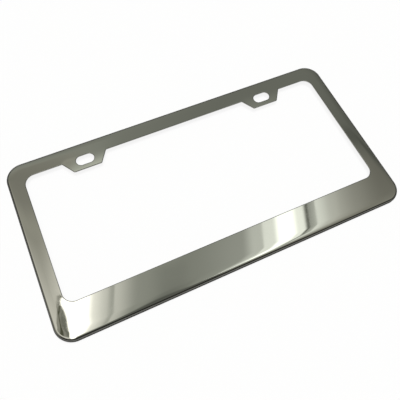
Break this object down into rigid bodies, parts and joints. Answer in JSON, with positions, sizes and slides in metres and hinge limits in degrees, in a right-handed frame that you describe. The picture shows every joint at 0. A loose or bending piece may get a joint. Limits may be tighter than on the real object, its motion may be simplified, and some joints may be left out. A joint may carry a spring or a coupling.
{
  "type": "number plate frame",
  "caption": "Flat rectangular car number plate frame pressed from polished steel sheet, with a rolled rim, a plate window and tabs with screw slots.",
  "frame": {"origin": "middle of the frame's outline, on the plane of the rim's lower edge that it lies on", "axes": "+X along the plate, +Y towards the upper rail with the screw slots, +Z out of the polished face"},
  "size_m": [0.315, 0.162, 0.005],
  "materials": {
    "polished_steel": "mirror-polished stainless steel sheet"
  },
  "bodies": {
    "root": {"plate_frame": "polished_steel"}
  },
  "joints": []
}
